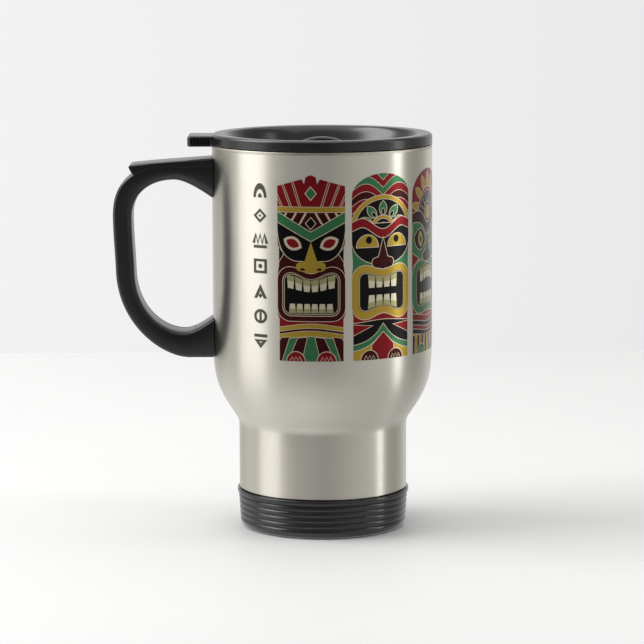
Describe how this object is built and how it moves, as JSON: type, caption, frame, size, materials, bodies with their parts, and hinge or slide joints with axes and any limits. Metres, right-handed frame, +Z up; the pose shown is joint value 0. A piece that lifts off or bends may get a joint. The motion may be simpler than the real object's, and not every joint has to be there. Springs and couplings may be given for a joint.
{
  "type": "travel mug",
  "caption": "Double-wall steel travel mug with a tapered body, black loop handle, ribbed base, slide-to-drink lid and printed tiki masks.",
  "frame": {"origin": "centre of the base pad's underside, where the mug stands", "axes": "+Z up along the mug's axis; the handle points towards -X; the printed front faces -Y"},
  "size_m": [0.1244, 0.086, 0.155],
  "materials": {
    "brushed_steel": "brushed round the body, clear coated, with a translucent printed band",
    "plain_steel": "bright drawn stainless steel",
    "black_plastic": "fine-textured moulded polypropylene",
    "lid_plastic": "satin moulded polypropylene",
    "grey_silicone": "soft moulded silicone",
    "foot_rubber": "matt non-slip rubber"
  },
  "bodies": {
    "mug": {"outer_shell": "brushed_steel", "inner_liner": "plain_steel", "bottom_plate": "plain_steel", "base_cup": "black_plastic", "base_pad": "foot_rubber", "upper_bracket": "plain_steel", "lower_bracket": "plain_steel", "handle_body": "black_plastic", "handle_insert": "black_plastic", "thumb_rest": "black_plastic", "lower_screw_plug": "black_plastic", "upper_screw": "plain_steel", "lower_screw": "plain_steel", "upper_washer": "plain_steel", "lower_washer": "plain_steel"},
    "gasket": {"lid_gasket": "grey_silicone"},
    "lid": {"lid_body": "lid_plastic"},
    "slider": {"lid_slider": "lid_plastic", "slider_seal": "grey_silicone", "slider_clip": "lid_plastic"}
  },
  "joints": [
    {"name": "lid_lift", "type": "slide", "parent": "mug", "child": "gasket", "axis": [0, 0, 1], "range_m": [0, 0.05]},
    {"name": "lid_twist", "type": "hinge", "parent": "gasket", "child": "lid", "pos_m": [0, 0, 0.151], "axis": [0, 0, 1], "continuous": true},
    {"name": "slider_slide", "type": "slide", "parent": "lid", "child": "slider", "axis": [0, -1, 0], "range_m": [0, 0.009]}
  ]
}
